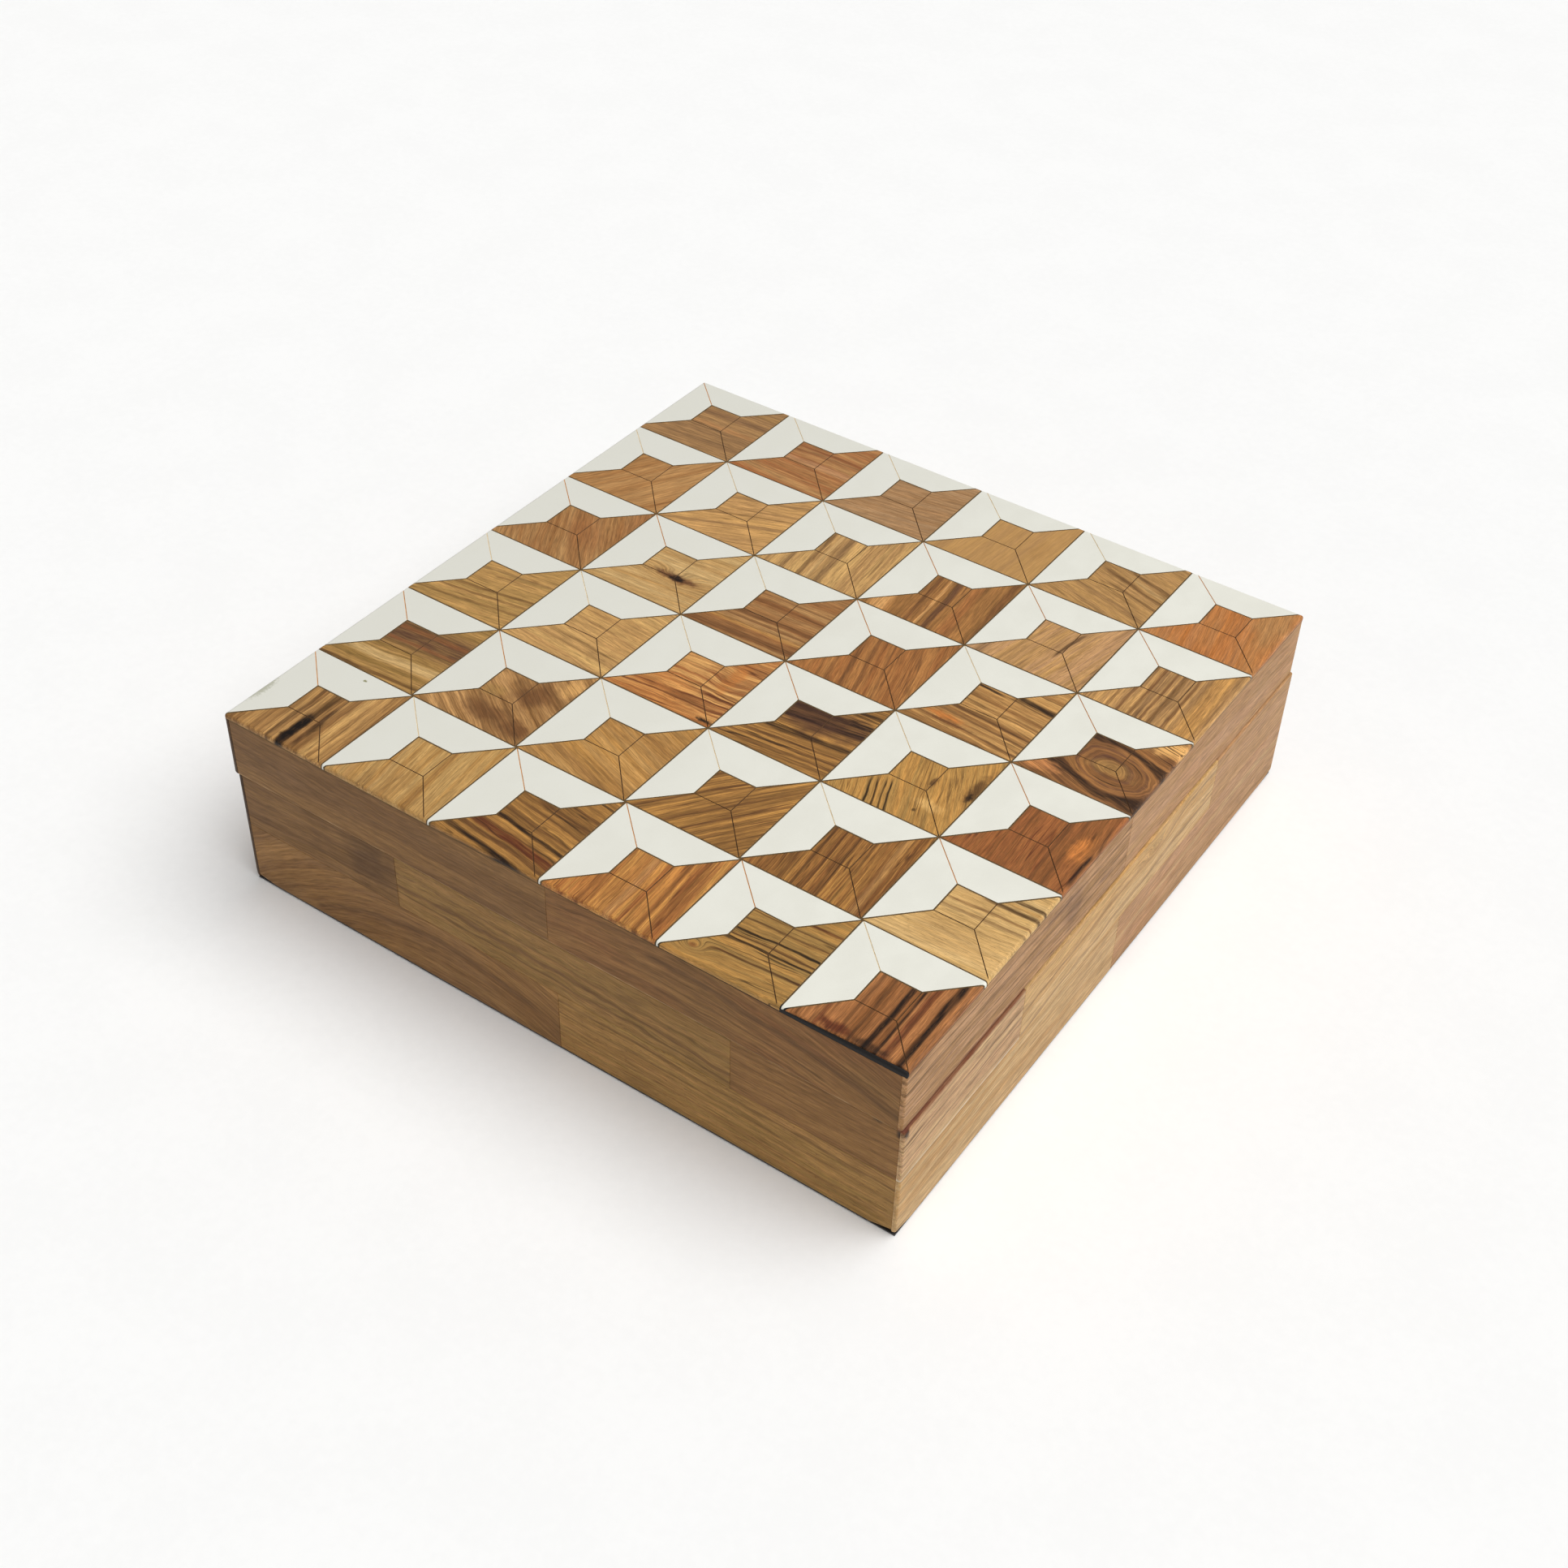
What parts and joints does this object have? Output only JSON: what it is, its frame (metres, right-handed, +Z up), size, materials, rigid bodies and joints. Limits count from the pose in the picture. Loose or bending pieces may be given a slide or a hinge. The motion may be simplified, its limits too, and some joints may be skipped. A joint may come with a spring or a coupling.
{
  "type": "inlaid wooden box",
  "caption": "Low square wooden box with a hinged lid, inlaid on top with white resin and mixed-wood tiles, and clad with wooden strips on all four sides.",
  "frame": {"origin": "centre of the underside, on the surface that the box stands on", "axes": "+Z up, +Y towards the hinged back, +X to the right seen from the front"},
  "size_m": [0.2034, 0.2085, 0.057],
  "materials": {
    "stained_board": "stained board, matt",
    "lining_felt": "black felt",
    "underside_felt": "black felt",
    "filler": "dark brown filler, sanded flush",
    "white_resin": "white resin, satin polish",
    "inlay_wood": "oiled hardwood, satin, each piece cut from a different board",
    "side_wood_light": "oiled hardwood, satin, light tan",
    "side_wood": "oiled hardwood, satin, mid brown",
    "hinge_brass": "brushed brass, slightly dull",
    "brass_screws": "brass, slotted heads"
  },
  "bodies": {
    "base": {"floor_panel": "stained_board", "floor_lining": "lining_felt", "underside_felt": "underside_felt", "base_wall_front": "stained_board", "base_wall_right": "stained_board", "base_wall_back": "stained_board", "base_wall_left": "stained_board", "base_strip_front_upper_left": "side_wood", "base_strip_front_upper_middle": "side_wood", "base_strip_front_upper_right": "side_wood", "base_strip_front_lower_left": "side_wood", "base_strip_front_lower_right": "side_wood", "base_strip_right_upper_front": "side_wood_light", "base_strip_right_upper_middle": "side_wood_light", "base_strip_right_upper_back": "side_wood_light", "base_strip_right_lower_front": "side_wood_light", "base_strip_right_lower_back": "side_wood_light", "base_strip_back_upper_right": "side_wood", "base_strip_back_upper_middle": "side_wood", "base_strip_back_upper_left": "side_wood", "base_strip_back_lower_right": "side_wood", "base_strip_back_lower_left": "side_wood", "base_strip_left_upper_back": "side_wood", "base_strip_left_upper_middle": "side_wood", "base_strip_left_upper_front": "side_wood", "base_strip_left_lower_back": "side_wood", "base_strip_left_lower_front": "side_wood", "hinge_leaf_base_left": "hinge_brass", "hinge_leaf_base_right": "hinge_brass", "hinge_pins": "hinge_brass", "hinge_screws_base": "brass_screws"},
    "lid": {"lid_panel": "stained_board", "inlay_filler": "filler", "lid_wall_front": "stained_board", "lid_wall_right": "stained_board", "lid_wall_back": "stained_board", "lid_wall_left": "stained_board", "lid_strip_front_left": "side_wood", "lid_strip_front_right": "side_wood", "lid_strip_right_front": "side_wood_light", "lid_strip_right_back": "side_wood_light", "lid_strip_back_right": "side_wood", "lid_strip_back_left": "side_wood", "lid_strip_left_back": "side_wood", "lid_strip_left_front": "side_wood", "resin_row_1": "white_resin", "resin_row_2": "white_resin", "resin_row_3": "white_resin", "resin_row_4": "white_resin", "resin_row_5": "white_resin", "resin_row_6": "white_resin", "wood_row_1": "inlay_wood", "wood_row_2": "inlay_wood", "wood_row_3": "inlay_wood", "wood_row_4": "inlay_wood", "wood_row_5": "inlay_wood", "wood_row_6": "inlay_wood", "hinge_leaf_lid_left": "hinge_brass", "hinge_leaf_lid_right": "hinge_brass", "hinge_screws_lid": "brass_screws"}
  },
  "joints": [
    {"name": "lid_hinge", "type": "hinge", "parent": "base", "child": "lid", "pos_m": [0, 0.1037, 0.03715], "axis": [-1, 0, 0], "range_deg": [0, 100]}
  ]
}
